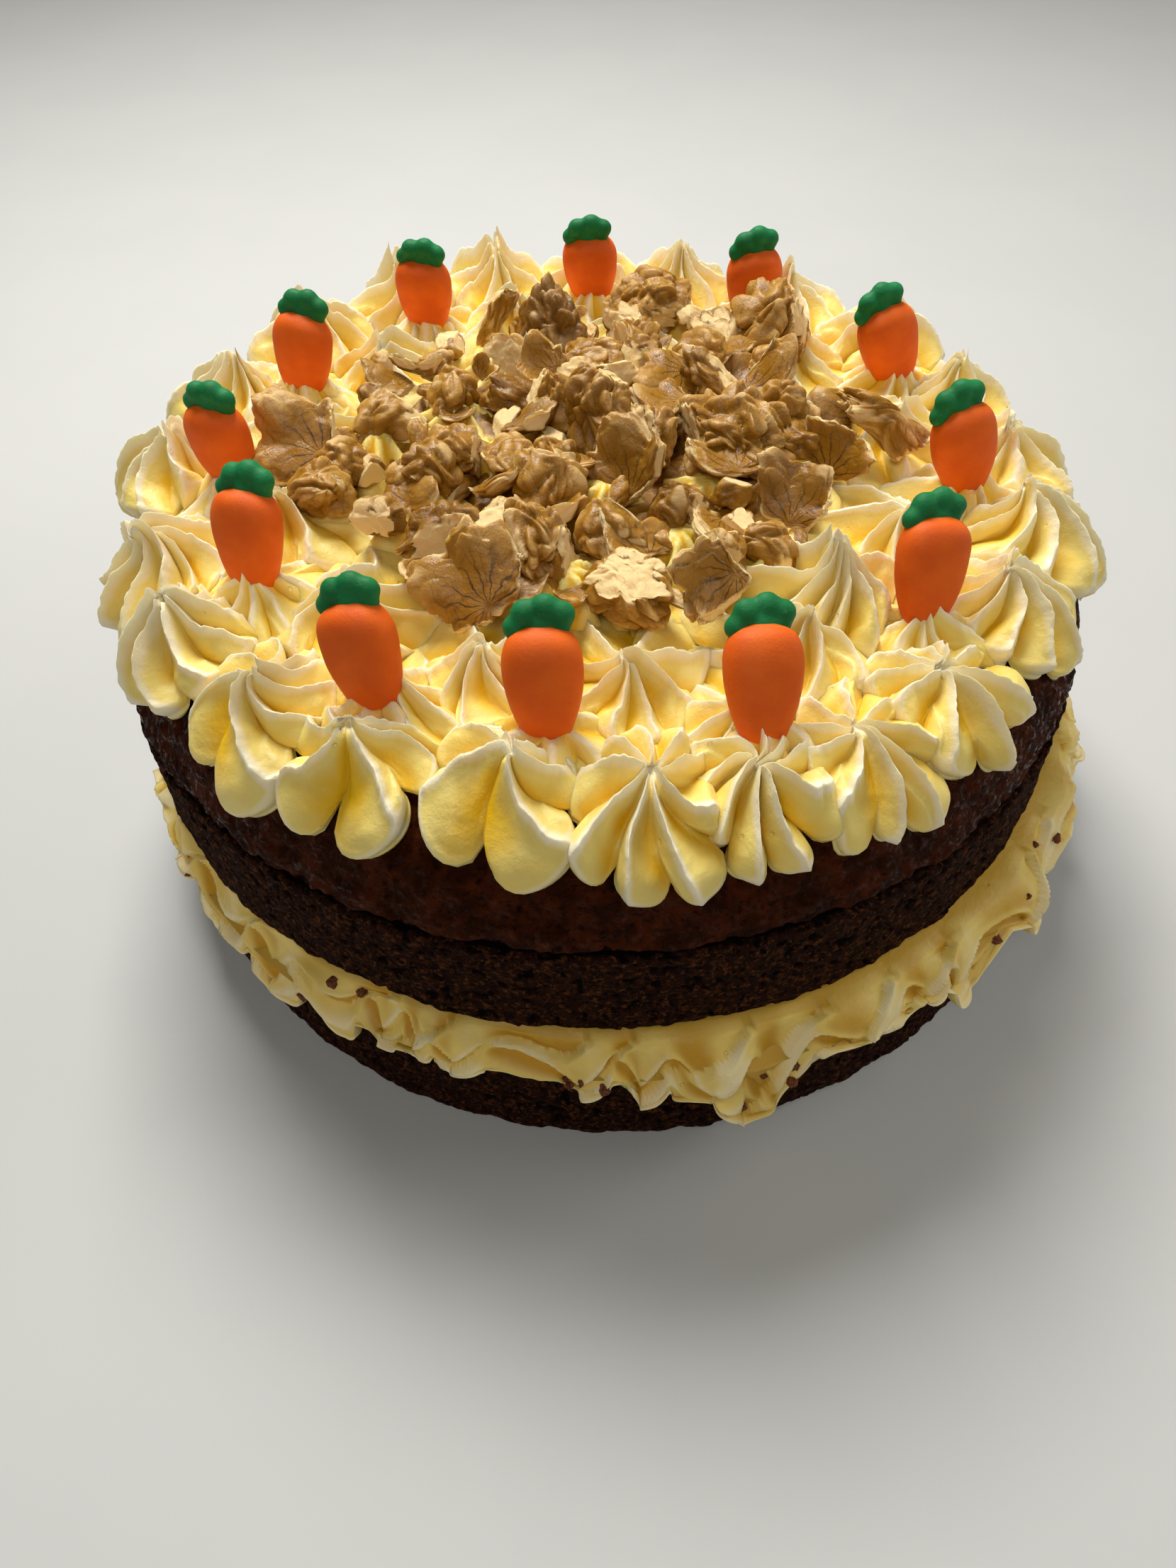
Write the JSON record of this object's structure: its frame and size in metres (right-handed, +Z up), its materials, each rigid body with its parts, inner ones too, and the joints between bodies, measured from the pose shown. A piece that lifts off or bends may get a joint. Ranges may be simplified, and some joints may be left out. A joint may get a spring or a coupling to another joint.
{
  "type": "carrot cake",
  "caption": "Round two-layer carrot cake: dark sponges, ruffled cream filling, piped icing stars, upright sugar carrots and a heap of walnut pieces on top.",
  "frame": {"origin": "middle of the flat face the cake rests on", "axes": "+Z up through the middle of the cake, -Y towards its front, +X to its right seen from the front"},
  "size_m": [0.213, 0.2134, 0.1102],
  "materials": {
    "sponge": "very dark brown baked crumb, porous and matt at the side, slightly sticky crust",
    "filling": "pale buttercream, soft satin",
    "icing": "pale yellow piped buttercream, soft satin",
    "sugar_paste": "moulded sugar paste, matt orange with a matt green top",
    "walnut": "golden brown walnut kernel, waxy skin and pale broken edges"
  },
  "bodies": {
    "root": {"sponge_lower": "sponge", "filling": "filling", "sponge_upper": "sponge", "star_rim_01": "icing", "star_rim_02": "icing", "star_rim_03": "icing", "star_rim_04": "icing", "star_rim_05": "icing", "star_rim_06": "icing", "star_rim_07": "icing", "star_rim_08": "icing", "star_rim_09": "icing", "star_rim_10": "icing", "star_rim_11": "icing", "star_rim_12": "icing", "star_rim_13": "icing", "star_rim_14": "icing", "star_rim_15": "icing", "star_rim_16": "icing", "star_rim_17": "icing", "star_rim_18": "icing", "star_rim_19": "icing", "star_rim_20": "icing", "star_rim_21": "icing", "star_rim_22": "icing", "star_seat_01": "icing", "star_seat_02": "icing", "star_seat_03": "icing", "star_seat_04": "icing", "star_seat_05": "icing", "star_seat_06": "icing", "star_seat_07": "icing", "star_seat_08": "icing", "star_seat_09": "icing", "star_seat_10": "icing", "star_seat_11": "icing", "star_seat_12": "icing", "star_large": "icing", "icing_centre": "icing", "carrot_01": "sugar_paste", "carrot_02": "sugar_paste", "carrot_03": "sugar_paste", "carrot_04": "sugar_paste", "carrot_05": "sugar_paste", "carrot_06": "sugar_paste", "carrot_07": "sugar_paste", "carrot_08": "sugar_paste", "carrot_09": "sugar_paste", "carrot_10": "sugar_paste", "carrot_11": "sugar_paste", "carrot_12": "sugar_paste", "walnuts": "walnut"}
  },
  "joints": []
}
